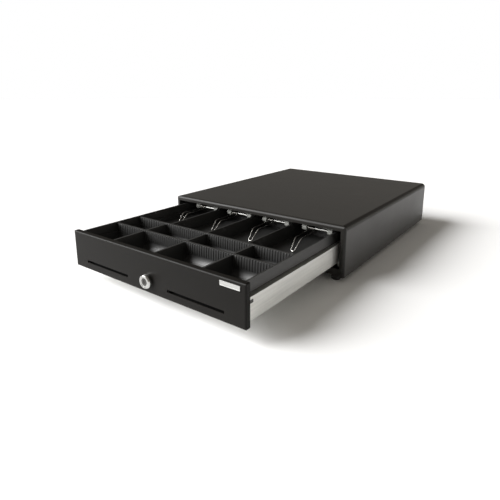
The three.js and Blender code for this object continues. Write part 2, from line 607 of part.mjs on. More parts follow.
function switchGeometry() {
  const { x0, x1, y0, y1, z0, z1 } = SWITCH;
  const button = rodY(x0 + 10, y0 - 5, y0 + 1, (z0 + z1) / 2, 1.4, 12);
  const foot = block(x0 + 2, x1 - 2, y1 - 2, y1 + 9, z0, z0 + 2);
  return join(block(x0, x1, y0, y1, z0, z1), button, foot);
}

function leafGeometry() {
  const leaf = block(0, LEAF.length, -0.3, 0.3, SWITCH.z0 + 3, SWITCH.z1 - 3);
  const eye = rodZ(0, 0, SWITCH.z0 + 3, SWITCH.z1 - 3, 1, 12);
  const tip = rodZ(LEAF.length, 0, SWITCH.z0 + 3, SWITCH.z1 - 3, 1.4, 12);
  return join(leaf, eye, tip).rotateZ(LEAF.angle).translate(LEAF.x, LEAF.y, 0);
}

// Assembly. The whole drawer's box is centred on the origin, front to back.
const model = new THREE.Group();
model.position.y = (TRAVEL + LOCK_PROUD - DEPTH) / 2;

function add(name, geometry, material) {
  const mesh = new THREE.Mesh(geometry, material);
  mesh.name = name;
  model.add(mesh);
  return mesh;
}

function addHousing() {
  add('housing_shell', shellGeometry(), darkPaint);
  add('base_plate', baseGeometry(), darkPaint);
  add('rear_panel', rearPanelGeometry(), darkPaint);
  add('interface_socket', socketGeometry(), blackPlastic);
  screwPlaces().forEach(([x, z], i) => add(`rear_screw_${i + 1}`, rearScrewGeometry(x, z), plainSteel));
  for (const [side, sign] of Object.entries(SIDES)) {
    for (const [end, y] of Object.entries(FOOT_PLACES)) {
      add(`foot_${end}_${side}`, footGeometry(), rubber).position.set(sign * 157, y, 0);
    }
    add(`cabinet_runner_${side}`, runnerGeometry(sign), zincSteel);
    add(`cabinet_roller_${side}`, rollerGeometry(sign, FRONT_ROLLER, 2.2), whitePlastic);
  }
}

function addDrawer() {
  add('drawer_front', frontGeometry(), darkPaint);
  add('drawer_pan', panGeometry(), zincSteel);
  add('label_plate', labelGeometry(), whitePlastic);
  add('strike_bracket', strikeGeometry(), plainSteel);
  for (const [side, sign] of Object.entries(SIDES)) {
    add(`pan_plug_${side}`, plugGeometry(sign), blackPlastic);
    add(`drawer_roller_${side}`, rollerGeometry(sign, REAR_ROLLER, 2.5), whitePlastic);
  }
}

function addLock() {
  add('lock_body', lockBodyGeometry(), chrome);
  add('lock_nut', lockNutGeometry(), plainSteel);
  add('lock_plug', lockPlugGeometry(), chrome);
  add('lock_cam', camGeometry(), plainSteel);
  add('cam_screw', camScrewGeometry(), plainSteel);
}

function addTray() {
  add('cash_tray', trayGeometry(), blackPlastic);
  COIN_ROWS.forEach((row, r) => [-1, 0, 1].forEach((k) =>
    add(`coin_divider_${r * 3 + k + 2}`, coinDividerGeometry(row, k * CUP_PITCH), blackPlastic)));
  columnCentres.forEach((x, i) => {
    add(`clip_bracket_${i + 1}`, clipBracketGeometry(x), greyPlastic);
    add(`clip_axle_${i + 1}`, clipAxleGeometry(x), plainSteel);
    add(`note_clip_${i + 1}`, noteClipGeometry(x), chrome);
  });
}

function addMechanism() {
  add('latch_bridge', bridgeGeometry(), zincSteel);
  add('latch_pivot', pivotGeometry(), plainSteel);
  add('latch_lever', latchGeometry(), plainSteel);
  add('latch_spring', latchSpringGeometry(), plainSteel);
  add('solenoid_frame', solenoidFrameGeometry(), plainSteel);
  add('solenoid_coil', solenoidCoilGeometry(), copper);
  add('solenoid_plunger', plungerGeometry(), plainSteel);
  add('ejector_guide', ejectorGuideGeometry(), blackPlastic);
  add('ejector_pusher', pusherGeometry(), whitePlastic);
  add('ejector_spring', ejectorSpringGeometry(), plainSteel);
  add('sensor_switch', switchGeometry(), blackPlastic);
  add('switch_leaf', leafGeometry(), plainSteel);
}

addHousing();
addDrawer();
addLock();
addTray();
addMechanism();

export default model;
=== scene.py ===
"""Looks of the cash drawer: materials, fine meshes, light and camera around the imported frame.

The drawer's front faces -Y. Lengths are in metres unless a comment says mm. Places come from the
frame's boxes, or are given as numbers where a box does not tell them.
"""
import json
import math

import bmesh
import bpy
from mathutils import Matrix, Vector


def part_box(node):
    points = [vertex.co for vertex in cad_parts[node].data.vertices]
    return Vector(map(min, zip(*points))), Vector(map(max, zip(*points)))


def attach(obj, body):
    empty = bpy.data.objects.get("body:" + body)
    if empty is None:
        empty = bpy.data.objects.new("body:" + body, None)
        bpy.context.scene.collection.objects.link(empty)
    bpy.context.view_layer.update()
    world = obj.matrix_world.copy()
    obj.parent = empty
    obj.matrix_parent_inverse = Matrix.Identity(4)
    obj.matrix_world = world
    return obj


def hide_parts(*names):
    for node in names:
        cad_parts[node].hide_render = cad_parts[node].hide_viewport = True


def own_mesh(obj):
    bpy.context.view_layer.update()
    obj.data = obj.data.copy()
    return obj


MM = 0.001

# The camera, fitted to the edges seen in the photograph; angles in degrees, lens in mm
CAMERA_PLACE = (0.4276, -0.6574, 0.2757)
CAMERA_AZIMUTH = 36.78
CAMERA_ELEVATION = 13.41
CAMERA_LENS = 31.38
CAMERA_SENSOR = 36.0
CAMERA_SHIFT = -0.10

# The lamp: the direction it stands in, its apparent width in degrees, and its power
KEY_FROM = (-0.64, -0.59, 0.51)
KEY_SPREAD = 42
KEY_POWER = 6.5

# The room's tone towards +Y and towards -Y
ROOM_BEHIND = (0.035, 0.032, 0.028)
ROOM_AHEAD = (0.40, 0.38, 0.345)

# The lit sweep: its direction, and where it starts and is full, as a cosine from that direction
# and as a height on the unit sphere
SWEEP_COLOR = (0.96, 0.89, 0.79)
SWEEP_TOWARD = (0.60, 0.80, 0.0)
SWEEP_AROUND = (-0.2, 0.95)
SWEEP_HEIGHT = (0.36, 0.08)

# Half the width of the floor
FLOOR_HALF = 30.0

# A direction that lies along no axis, from which the rings of wires and turned parts start
OBLIQUE = (0.31, 0.17, 0.93)

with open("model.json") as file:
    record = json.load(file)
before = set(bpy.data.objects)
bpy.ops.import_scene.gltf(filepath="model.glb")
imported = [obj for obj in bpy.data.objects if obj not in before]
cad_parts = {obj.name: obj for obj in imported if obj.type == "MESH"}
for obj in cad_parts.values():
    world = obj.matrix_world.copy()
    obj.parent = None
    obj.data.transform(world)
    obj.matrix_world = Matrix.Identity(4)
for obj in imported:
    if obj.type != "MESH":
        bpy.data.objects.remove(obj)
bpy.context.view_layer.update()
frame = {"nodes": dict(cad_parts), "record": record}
nodes = frame["nodes"]


# ---------------------------------------------------------------- camera, light and floor
def make_camera():
    """The camera looks at the drawer from the front right and from above."""
    data = bpy.data.cameras.new("camera")
    data.lens = CAMERA_LENS
    data.sensor_width = CAMERA_SENSOR
    data.shift_y = CAMERA_SHIFT
    camera = bpy.data.objects.new("camera", data)
    azimuth = math.radians(CAMERA_AZIMUTH)
    elevation = math.radians(CAMERA_ELEVATION)
    back = Vector((math.sin(azimuth) * math.cos(elevation),
                   -math.cos(azimuth) * math.cos(elevation),
                   math.sin(elevation)))
    camera.rotation_euler = back.to_track_quat("Z", "Y").to_euler()
    camera.location = CAMERA_PLACE
    bpy.context.scene.collection.objects.link(camera)
    bpy.context.scene.camera = camera


def key_light():
    """A broad lamp far off to the left and in front, about 30 degrees up."""
    data = bpy.data.lights.new("key", "SUN")
    data.energy = KEY_POWER
    data.angle = math.radians(KEY_SPREAD)
    light = bpy.data.objects.new("key", data)
    light.rotation_euler = Vector(KEY_FROM).to_track_quat("Z", "Y").to_euler()
    bpy.context.scene.collection.objects.link(light)


def make_studio():
    """A dim warm room, darker behind the drawer, with a lit paper sweep low behind on the right.

    They light the drawer and are reflected in it. The camera sees white where nothing stands.
    """
    scene = bpy.context.scene
    scene.view_settings.view_transform = "Standard"
    world = bpy.data.worlds.new("studio")
    world.use_nodes = True
    tree = world.node_tree
    room = tree.nodes["Background"]
    direction = tree.nodes.new("ShaderNodeTexCoord").outputs["Generated"]
    axes = tree.nodes.new("ShaderNodeSeparateXYZ")
    depth = tree.nodes.new("ShaderNodeMapRange")
    depth.inputs["From Min"].default_value = -1.0
    tone = tree.nodes.new("ShaderNodeMix")
    tone.data_type = "RGBA"
    tone.inputs[6].default_value = (*ROOM_AHEAD, 1)
    tone.inputs[7].default_value = (*ROOM_BEHIND, 1)
    tree.links.new(direction, axes.inputs[0])
    tree.links.new(axes.outputs["Y"], depth.inputs["Value"])
    tree.links.new(depth.outputs["Result"], tone.inputs[0])
    facing = tree.nodes.new("ShaderNodeVectorMath")
    facing.operation = "DOT_PRODUCT"
    facing.inputs[1].default_value = SWEEP_TOWARD
    around = tree.nodes.new("ShaderNodeMapRange")
    around.inputs["From Min"].default_value = SWEEP_AROUND[0]
    around.inputs["From Max"].default_value = SWEEP_AROUND[1]
    above = tree.nodes.new("ShaderNodeMapRange")
    above.inputs["From Min"].default_value = SWEEP_HEIGHT[0]
    above.inputs["From Max"].default_value = SWEEP_HEIGHT[1]
    share = tree.nodes.new("ShaderNodeMath")
    share.operation = "MULTIPLY"
    sweep = tree.nodes.new("ShaderNodeMix")
    sweep.data_type = "RGBA"
    sweep.inputs[7].default_value = (*SWEEP_COLOR, 1)
    tree.links.new(direction, facing.inputs[0])
    tree.links.new(facing.outputs["Value"], around.inputs["Value"])
    tree.links.new(axes.outputs["Z"], above.inputs["Value"])
    tree.links.new(around.outputs["Result"], share.inputs[0])
    tree.links.new(above.outputs["Result"], share.inputs[1])
    tree.links.new(share.outputs[0], sweep.inputs[0])
    tree.links.new(tone.outputs[2], sweep.inputs[6])
    tree.links.new(sweep.outputs[2], room.inputs["Color"])
    wall = tree.nodes.new("ShaderNodeBackground")
    wall.inputs["Color"].default_value = (1, 1, 1, 1)
    seen = tree.nodes.new("ShaderNodeLightPath")
    mix = tree.nodes.new("ShaderNodeMixShader")
    tree.links.new(seen.outputs["Is Camera Ray"], mix.inputs[0])
    tree.links.new(room.outputs[0], mix.inputs[1])
    tree.links.new(wall.outputs[0], mix.inputs[2])
    tree.links.new(mix.outputs[0], tree.nodes["World Output"].inputs["Surface"])
    scene.world = world
    key_light()


def make_floor():
    """A wide flat sheet of pale paper under the feet."""
    mesh = bpy.data.meshes.new("floor")
    half = FLOOR_HALF
    mesh.from_pydata([(-half, -half, 0), (half, -half, 0), (half, half, 0), (-half, half, 0)],
                     [], [(0, 1, 2, 3)])
    floor = bpy.data.objects.new("floor", mesh)
    bpy.context.scene.collection.objects.link(floor)
    mesh.materials.append(floor_material())


# ---------------------------------------------------------------- materials
class Surface:
    """A principled material with shortcuts for procedural texture nodes, in object metres."""

    def __init__(self, name, color, roughness, metallic=0.0):
        self.material = bpy.data.materials.new(name)
        self.material.use_nodes = True
        self.tree = self.material.node_tree
        self.shader = self.tree.nodes["Principled BSDF"]
        self.shader.inputs["Base Color"].default_value = (*color, 1)
        self.shader.inputs["Roughness"].default_value = roughness
        self.shader.inputs["Metallic"].default_value = metallic
        self.place = self.node("ShaderNodeTexCoord").outputs["Object"]

    def node(self, kind, **settings):
        """A new node, with each setting given to its input or, failing that, to the node."""
        made = self.tree.nodes.new(kind)
        for key, value in settings.items():
            if key in made.inputs:
                made.inputs[key].default_value = value
            else:
                setattr(made, key, value)
        return made

    def link(self, source, target):
        self.tree.links.new(source, target)

    def noise(self, scale, detail=3.0, stretch=None):
        """Soft noise; a stretch below 1 along an axis draws it out along that axis."""
        noise = self.node("ShaderNodeTexNoise", Scale=scale, Detail=detail, Roughness=0.5)
        place = self.place
        if stretch:
            mapping = self.node("ShaderNodeMapping")
            mapping.inputs["Scale"].default_value = stretch
            self.link(place, mapping.inputs["Vector"])
            place = mapping.outputs["Vector"]
        self.link(place, noise.inputs["Vector"])
        return noise.outputs["Fac"]

    def ramp(self, source, stops):
        """Turns a source into colours or greys, given as (position, value) stops."""
        ramp = self.node("ShaderNodeValToRGB")
        elements = ramp.color_ramp.elements
        for element, (position, value) in zip(elements, stops):
            element.position = position
            element.color = (*value, 1) if isinstance(value, tuple) else (value, value, value, 1)
        self.link(source, ramp.inputs["Fac"])
        return ramp.outputs["Color"]

    def multiply(self, share, tone, grain):
        """The tone darkened or lightened by the grain, as strongly as the share says."""
        mix = self.node("ShaderNodeMix", data_type="RGBA", blend_type="MULTIPLY")
        mix.inputs[0].default_value = share
        self.link(tone, mix.inputs[6])
        self.link(grain, mix.inputs[7])
        return mix.outputs[2]

    def span(self, source, start, end):
        """0 at start, 1 at end, and straight between them."""
        spread = self.node("ShaderNodeMapRange")
        spread.inputs["From Min"].default_value = start
        spread.inputs["From Max"].default_value = end
        self.link(source, spread.inputs["Value"])
        return spread.outputs["Result"]

    def color(self, source):
        self.link(source, self.shader.inputs["Base Color"])

    def rough(self, source):
        self.link(source, self.shader.inputs["Roughness"])

    def bump(self, height, strength, distance):
        """Roughens the surface by a height, over a distance in metres."""
        bump = self.node("ShaderNodeBump", Strength=strength, Distance=distance)
        self.link(height, bump.inputs["Height"])
        self.link(bump.outputs["Normal"], self.shader.inputs["Normal"])


def floor_material():
    """Matt pale paper."""
    surface = Surface("floor_paper", (0.93, 0.93, 0.93), 0.9)
    surface.rough(surface.ramp(surface.noise(3.0), [(0.3, 0.85), (0.7, 0.95)]))
    return surface.material


def powder_coat(name, color, gloss, roughness, edges=False):
    """Fine-textured black powder coat: small round orange peel, and faint handling marks."""
    surface = Surface(name, color, roughness)
    surface.shader.inputs["Specular IOR Level"].default_value = gloss
    peel = surface.noise(1400.0, detail=2.0)
    broad = surface.noise(14.0, detail=4.0)
    speck = surface.noise(2600.0, detail=1.0)
    worn = tuple(1.25 * c for c in color)
    tone = surface.ramp(broad, [(0.3, color), (0.7, worn)])
    grain = surface.ramp(speck, [(0.45, 0.9), (0.62, 1.15)])
    surface.color(surface.multiply(0.6, tone, grain))
    surface.rough(surface.ramp(broad, [(0.25, roughness - 0.04), (0.75, roughness + 0.04)]))
    surface.bump(peel, 0.2, 0.04 * MM)
    if edges:
        dull_edges(surface, gloss)
    return surface.material


# How much the housing's paint still shines on its edges, and how far in from the housing's box
# the dull part starts and is full: back from the front, in from the sides, down from the top
EDGE_GLOSS = 0.28
DULL_RIM = (6.5 * MM, 3.0 * MM)
DULL_SIDE = (8.0 * MM, 5.5 * MM)
DULL_TOP = (9.0 * MM, 6.5 * MM)


def dull_edges(surface, gloss):
    """Lowers the gloss on the rim and the long round edges, which look darker in the photograph."""
    low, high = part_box("housing_shell")
    axes = surface.node("ShaderNodeSeparateXYZ")
    surface.link(surface.place, axes.inputs[0])
    beside = surface.node("ShaderNodeMath", operation="ABSOLUTE")
    surface.link(axes.outputs["X"], beside.inputs[0])
    rim = surface.span(axes.outputs["Y"], low.y + DULL_RIM[0], low.y + DULL_RIM[1])
    side = surface.span(beside.outputs[0], high.x - DULL_SIDE[0], high.x - DULL_SIDE[1])
    top = surface.span(axes.outputs["Z"], high.z - DULL_TOP[0], high.z - DULL_TOP[1])
    bend = surface.node("ShaderNodeMath", operation="MULTIPLY")
    surface.link(side, bend.inputs[0])
    surface.link(top, bend.inputs[1])
    either = surface.node("ShaderNodeMath", operation="MAXIMUM")
    surface.link(rim, either.inputs[0])
    surface.link(bend.outputs[0], either.inputs[1])
    shine = surface.node("ShaderNodeMapRange")
    shine.inputs["To Min"].default_value = gloss
    shine.inputs["To Max"].default_value = EDGE_GLOSS
    surface.link(either.outputs[0], shine.inputs["Value"])
    surface.link(shine.outputs["Result"], surface.shader.inputs["Specular IOR Level"])


def zinc_sheet():
    """Zinc-coated sheet: faint spangle and rolling streaks along Y."""
    surface = Surface("zinc_sheet", (0.72, 0.72, 0.69), 0.42, metallic=0.86)
    spangle = surface.node("ShaderNodeTexVoronoi", Scale=180.0)
    surface.link(surface.place, spangle.inputs["Vector"])
    streak = surface.noise(60.0, detail=3.0, stretch=(6.0, 0.25, 6.0))
    tone = surface.ramp(streak, [(0.3, (0.70, 0.705, 0.68)), (0.7, (0.80, 0.80, 0.77))])
    cells = surface.ramp(spangle.outputs["Distance"], [(0.0, 1.0), (0.9, 0.93)])
    surface.color(surface.multiply(0.5, tone, cells))
    surface.rough(surface.ramp(streak, [(0.3, 0.38), (0.7, 0.5)]))
    surface.bump(streak, 0.2, 0.05 * MM)
    return surface.material


def satin_steel():
    """Plain bright steel, faintly streaked."""
    surface = Surface("satin_steel", (0.45, 0.45, 0.44), 0.32, metallic=1.0)
    streak = surface.noise(300.0, detail=2.0, stretch=(8.0, 1.0, 1.0))
    surface.color(surface.ramp(streak, [(0.3, (0.4, 0.4, 0.39)), (0.7, (0.52, 0.52, 0.5))]))
    surface.rough(surface.ramp(streak, [(0.3, 0.26), (0.7, 0.42)]))
    surface.bump(streak, 0.15, 0.03 * MM)
    return surface.material


def chrome():
    """Chrome plate, a little smeared."""
    surface = Surface("chrome", (0.55, 0.55, 0.54), 0.14, metallic=1.0)
    smear = surface.noise(90.0, detail=3.0)
    surface.rough(surface.ramp(smear, [(0.35, 0.10), (0.75, 0.22)]))
    surface.color(surface.ramp(smear, [(0.3, (0.50, 0.50, 0.49)), (0.7, (0.60, 0.60, 0.59))]))
    return surface.material


def black_moulding():
    """Black ABS: fine spark-eroded grain, and a slightly uneven tone."""
    surface = Surface("black_moulding", (0.009, 0.009, 0.0085), 0.5)
    surface.shader.inputs["Specular IOR Level"].default_value = 0.95
    grain = surface.noise(1900.0, detail=2.0)
    broad = surface.noise(22.0, detail=3.0)
    surface.color(surface.ramp(broad, [(0.3, (0.007, 0.007, 0.0065)), (0.7, (0.011, 0.011, 0.0105))]))
    surface.rough(surface.ramp(grain, [(0.3, 0.45), (0.7, 0.57)]))
    surface.bump(grain, 0.3, 0.05 * MM)
    return surface.material


def moulding(name, color):
    """A plain moulded plastic with a fine grain."""
    roughness = 0.42
    surface = Surface(name, color, roughness)
    grain = surface.noise(1500.0, detail=2.0)
    broad = surface.noise(40.0, detail=2.0)
    dark = tuple(0.88 * c for c in color)
    surface.color(surface.ramp(broad, [(0.3, dark), (0.7, color)]))
    surface.rough(surface.ramp(grain, [(0.3, roughness - 0.06), (0.7, roughness + 0.08)]))
    surface.bump(grain, 0.2, 0.04 * MM)
    return surface.material


def copper_winding():
    """Enamelled copper wire."""
    surface = Surface("copper_winding", (0.42, 0.17, 0.07), 0.3, metallic=0.9)
    tone = surface.noise(500.0, detail=2.0, stretch=(4.0, 1.0, 1.0))
    surface.color(surface.ramp(tone, [(0.3, (0.33, 0.12, 0.05)), (0.7, (0.5, 0.22, 0.09))]))
    return surface.material


def rubber():
    """Black rubber with a little dust."""
    surface = Surface("rubber", (0.018, 0.018, 0.018), 0.8)
    dust = surface.noise(160.0, detail=4.0)
    surface.color(surface.ramp(dust, [(0.4, (0.014, 0.014, 0.014)), (0.8, (0.035, 0.034, 0.032))]))
    surface.bump(surface.noise(1200.0), 0.3, 0.08 * MM)
    return surface.material


def bright_wire():
    """Nickel-plated spring wire, a little smeared."""
    surface = Surface("bright_wire", (0.5, 0.49, 0.47), 0.2, metallic=1.0)
    smear = surface.noise(220.0, detail=3.0)
    surface.rough(surface.ramp(smear, [(0.3, 0.14), (0.75, 0.3)]))
    surface.color(surface.ramp(smear, [(0.3, (0.42, 0.41, 0.39)), (0.7, (0.55, 0.54, 0.52))]))
    return surface.material


def plug_metal():
    """The lock's plug: blackened brass, much darker than its bezel."""
    surface = Surface("plug_black", (0.06, 0.058, 0.055), 0.34, metallic=0.5)
    smear = surface.noise(260.0, detail=3.0)
    surface.rough(surface.ramp(smear, [(0.3, 0.24), (0.75, 0.42)]))
    surface.color(surface.ramp(smear, [(0.3, (0.045, 0.044, 0.042)), (0.7, (0.08, 0.077, 0.072))]))
    return surface.material


def label_foil():
    """Satin silver foil with fine rolling lines along X."""
    surface = Surface("label_foil", (0.42, 0.42, 0.41), 0.38, metallic=0.35)
    lines = surface.noise(700.0, detail=2.0, stretch=(0.05, 1.0, 3.0))
    surface.color(surface.ramp(lines, [(0.3, (0.36, 0.36, 0.35)), (0.7, (0.46, 0.46, 0.45))]))
    surface.rough(surface.ramp(lines, [(0.3, 0.32), (0.7, 0.44)]))
    surface.bump(lines, 0.1, 0.02 * MM)
    return surface.material


def painted_shade_black():
    """Painted shade: a black sheet with a short pile-like grain and hardly any sheen."""
    surface = Surface("painted_shade_black", (0.006, 0.006, 0.006), 0.95)
    surface.shader.inputs["Specular IOR Level"].default_value = 0.1
    sheet_grain = surface.noise(2200.0, detail=3.0)
    surface.color(surface.ramp(sheet_grain, [(0.35, (0.003, 0.003, 0.003)), (0.7, (0.008, 0.008, 0.008))]))
    surface.bump(sheet_grain, 0.5, 0.2 * MM)
    return surface.material


def contact_gold():
    """Gold plate on the socket's contacts."""
    surface = Surface("contact_gold", (0.83, 0.6, 0.24), 0.22, metallic=1.0)
    surface.rough(surface.ramp(surface.noise(900.0), [(0.3, 0.16), (0.7, 0.3)]))
    return surface.material


HOUSING_BLACK = (0.0078, 0.0070, 0.0059)
# Painted shade: the drawer front's black, a darker copy of the housing's black
FRONT_SHADED_BLACK = (0.0056, 0.0050, 0.0043)
BRIGHT_WIRE = bright_wire()
PLUG_BLACK = plug_metal()
LABEL_FOIL = label_foil()
CONTACT_GOLD = contact_gold()
# Painted shade: a black sheet material for the insides of the media slots
PAINTED_SHADE_SHEET = painted_shade_black()
MATERIALS = {
    "housing_paint": powder_coat("powder_coat", HOUSING_BLACK, 1.0, 0.48, edges=True),
    "zinc_steel": zinc_sheet(),
    "plain_steel": satin_steel(),
    "chrome": chrome(),
    "black_plastic": black_moulding(),
    "grey_plastic": moulding("grey_moulding", (0.5, 0.51, 0.48)),
    "white_plastic": moulding("nylon", (0.72, 0.72, 0.68)),
    "coil_winding": copper_winding(),
    "rubber": rubber(),
}
# The drawer front shares the housing's slot, and gets a darker, less glossy copy of the housing's
# paint; the darker colour is painted shade on the front face
OWN_MATERIAL = {
    "drawer_front": powder_coat("front_shaded_coat", FRONT_SHADED_BLACK, 0.13, 0.46),
}
SLOT_OF = {part["node"]: part["material_slot"] for part in frame["record"]["subparts"]}


# ---------------------------------------------------------------- CAD nodes that stay
# Width of the rounded edges. Faces that meet at less than FLAT_ANGLE are joined, and edges
# sharper than EDGE_ANGLE are rounded, in degrees.
SHEET_EDGE = 0.35 * MM
FLAT_ANGLE = 0.5
EDGE_ANGLE = 40
EDGE_OF = {"housing_shell": 0.5 * MM, "drawer_front": 0.45 * MM, "drawer_pan": 0.5 * MM,
           "cash_tray": 0.6 * MM, "label_plate": 0.25 * MM}


def refine(name):
    """Gives a CAD node its material, slightly rounded edges and smooth shading."""
    obj = nodes[name]
    mesh = obj.data
    mesh.materials.clear()
    mesh.materials.append(OWN_MATERIAL.get(name) or MATERIALS[SLOT_OF[name]])
    mesh.polygons.foreach_set("use_smooth", [True] * len(mesh.polygons))
    flat = obj.modifiers.new("flat", "DECIMATE")
    flat.decimate_type = "DISSOLVE"
    flat.angle_limit = math.radians(FLAT_ANGLE)
    edge = obj.modifiers.new("edge", "BEVEL")
    edge.width = EDGE_OF.get(name, SHEET_EDGE)
    edge.segments = 3
    edge.limit_method = "ANGLE"
    edge.angle_limit = math.radians(EDGE_ANGLE)
    edge.harden_normals = True
    obj.modifiers.new("normals", "WEIGHTED_NORMAL").keep_sharp = True


# ---------------------------------------------------------------- mesh tools
def centre(name):
    """The middle of a CAD node's box."""
    low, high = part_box(name)
    return (low + high) / 2


def make_piece(name, mesh, slot, body, stands_for=(), material=None, sharp=40):
    """Turns a mesh into a piece that rides on a body and takes its finish from a slot."""
    if isinstance(mesh, bmesh.types.BMesh):
        built = bpy.data.meshes.new(name)
        bmesh.ops.recalc_face_normals(mesh, faces=mesh.faces)
        mesh.to_mesh(built)
        mesh.free()
        mesh = built
    mesh.polygons.foreach_set("use_smooth", [True] * len(mesh.polygons))
    mesh.set_sharp_from_angle(angle=math.radians(sharp))
    mesh.materials.append(material or MATERIALS[slot])
    piece = bpy.data.objects.new(name, mesh)
    bpy.context.scene.collection.objects.link(piece)
    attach(piece, body)
    if stands_for:
        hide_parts(*stands_for)
    return piece


def loft(bm, rings, closed=False):
    """Joins rings of equal length with faces; the open ends are capped."""
    made = [[bm.verts.new(co) for co in ring] for ring in rings]
    pairs = list(zip(made, made[1:]))
    if closed:
        pairs.append((made[-1], made[0]))
    for first, second in pairs:
        count = len(first)
        for i in range(count):
            j = (i + 1) % count
            bm.faces.new((first[i], first[j], second[j], second[i]))
    if not closed:
        bm.faces.new(made[0])
        bm.faces.new(reversed(made[-1]))


def circle_frame(direction, hint):
    """Two directions square to the first and to each other, the first of them near the hint."""
    across = hint - direction * hint.dot(direction)
    if across.length < 1e-6:
        across = direction.orthogonal()
    across.normalize()
    return across, direction.cross(across)


def tube(bm, points, radius, sides=10):
    """A round wire through the points, with slightly domed ends."""
    count = len(points)
    hint = Vector(OBLIQUE)
    rings = []
    for i, point in enumerate(points):
        direction = (points[min(i + 1, count - 1)] - points[max(i - 1, 0)]).normalized()
        across, up = circle_frame(direction, hint)
        hint = across
        if i == 0:
            rings.append(ring(point - direction * radius * 0.35, across, up, radius * 0.6, sides))
        rings.append(ring(point, across, up, radius, sides))
        if i == count - 1:
            rings.append(ring(point + direction * radius * 0.35, across, up, radius * 0.6, sides))
    loft(bm, rings)


def ring(place, across, up, radius, sides):
    """Points round a circle."""
    angles = [2 * math.pi * k / sides for k in range(sides)]
    return [place + across * radius * math.cos(a) + up * radius * math.sin(a) for a in angles]


def turned(bm, profile, axis, place, sides=48, closed=False):
    """A solid of revolution; the profile gives radius and distance along the axis, in mm."""
    direction = Vector(axis).normalized()
    across, up = circle_frame(direction, Vector(OBLIQUE))
    rings = [ring(Vector(place) + direction * along * MM, across, up, radius * MM, sides)
             for radius, along in profile]
    loft(bm, rings, closed)


def block(bm, low, high, edge):
    """A box between two corners, with rounded edges."""
    made = bmesh.ops.create_cube(bm, size=1.0)["verts"]
    middle = (Vector(low) + Vector(high)) / 2
    size = Vector(high) - Vector(low)
    for vert in made:
        vert.co = Vector([c * d for c, d in zip(vert.co, size)]) + middle
    edges = list({e for vert in made for e in vert.link_edges})
    bmesh.ops.bevel(bm, geom=edges, offset=edge, segments=2, affect="EDGES", profile=0.5)


def bent_path(points, radius, steps=6):
    """The points of a path whose inner corners are rounded with arcs of about that radius."""
    path = [points[0]]
    for before, corner, after in zip(points, points[1:], points[2:]):
        back = before - corner
        on = after - corner
        reach = min(radius, 0.45 * back.length, 0.45 * on.length)
        start = corner + back.normalized() * reach
        end = corner + on.normalized() * reach
        for k in range(steps + 1):
            t = k / steps
            path.append(start * (1 - t) ** 2 + corner * 2 * t * (1 - t) + end * t ** 2)
    path.append(points[-1])
    return path


def helix(start, axis, length, radius, turns, per_turn):
    """Points of a coil whose first and last turns lie closed, as on a ground spring."""
    direction = Vector(axis).normalized()
    across, up = circle_frame(direction, Vector((0.02, 0.05, 1.0)))
    closed = 1.0 / turns
    points = []
    count = turns * per_turn
    for k in range(count + 1):
        t = k / count
        along = min(max((t - closed) / (1 - 2 * closed), 0.0), 1.0)
        angle = 2 * math.pi * turns * t
        points.append(Vector(start) + direction * length * along
                      + across * radius * math.cos(angle) + up * radius * math.sin(angle))
    return points


# ---------------------------------------------------------------- places
HOUSING_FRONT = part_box("housing_shell")[0].y
FRONT_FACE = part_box("drawer_front")[0].y


def spot(x, y, z):
    """A place in mm, with y measured from the housing's front face."""
    return Vector((x * MM, HOUSING_FRONT + y * MM, z * MM))


# ---------------------------------------------------------------- tray
RIB_PITCH = 4.35 * MM
RIB_PROUD = 0.9 * MM
RIB_COUNT = 34
RIB_TOP_BELOW_TRAY = 1.4 * MM
RIB_FOOT_ABOVE_TRAY = 15.5 * MM
FRONT_RIB_HIGHER = 6.5 * MM
CUP_WALL = 3.0 * MM
DIVIDER_GAP = 0.3 * MM


def rib(bm, x, wall, into, low, high):
    """One upright rib on a cup's wall, narrower at its crest and rounded off at its ends."""
    foot, face = 0.66 * MM, 0.36 * MM
    levels = [(low, 0.0), (low + 1.5 * MM, 1.0), (high - 0.7 * MM, 1.0), (high - 0.2 * MM, 0.7),
              (high, 0.3)]
    rings = []
    for height, share in levels:
        root = wall - into * 0.3 * MM
        crest = wall + into * RIB_PROUD * share
        shoulder = wall + into * RIB_PROUD * 0.75 * share
        section = [(-foot, root), (-foot, wall), (-face, shoulder), (-face * 0.6, crest),
                   (face * 0.6, crest), (face, shoulder), (foot, wall), (foot, root)]
        rings.append([Vector((x + dx, y, height)) for dx, y in section])
    loft(bm, rings)


def add_tray_ribs():
    """Combs of ribs on the cups' cross walls, between which the loose dividers stand."""
    tray_low, tray_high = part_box("cash_tray")
    front_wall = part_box("coin_divider_2")[0].y - DIVIDER_GAP
    middle_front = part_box("coin_divider_2")[1].y + DIVIDER_GAP
    note_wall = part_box("coin_divider_5")[1].y + DIVIDER_GAP
    top = tray_high.z - RIB_TOP_BELOW_TRAY
    low = tray_low.z + RIB_FOOT_ABOVE_TRAY
    walls = ((front_wall, 1, low + FRONT_RIB_HIGHER), (middle_front, -1, low),
             (middle_front + CUP_WALL, 1, low), (note_wall, -1, low))
    bm = bmesh.new()
    for k in range(-RIB_COUNT, RIB_COUNT):
        for wall, into, bottom in walls:
            rib(bm, (k + 0.5) * RIB_PITCH, wall, into, bottom, top)
    make_piece("tray_ribs", bm, "black_plastic", "drawer")


# ---------------------------------------------------------------- note clips
# The wire's radius; then, in mm, the coil's radius and the axle's place as spot() measures it
CLIP_WIRE = 0.75 * MM
COIL_RADIUS = 3.0
AXLE_Y = 25
AXLE_Z = 70
HALF_TURNS = 3
COIL_STEPS = 18


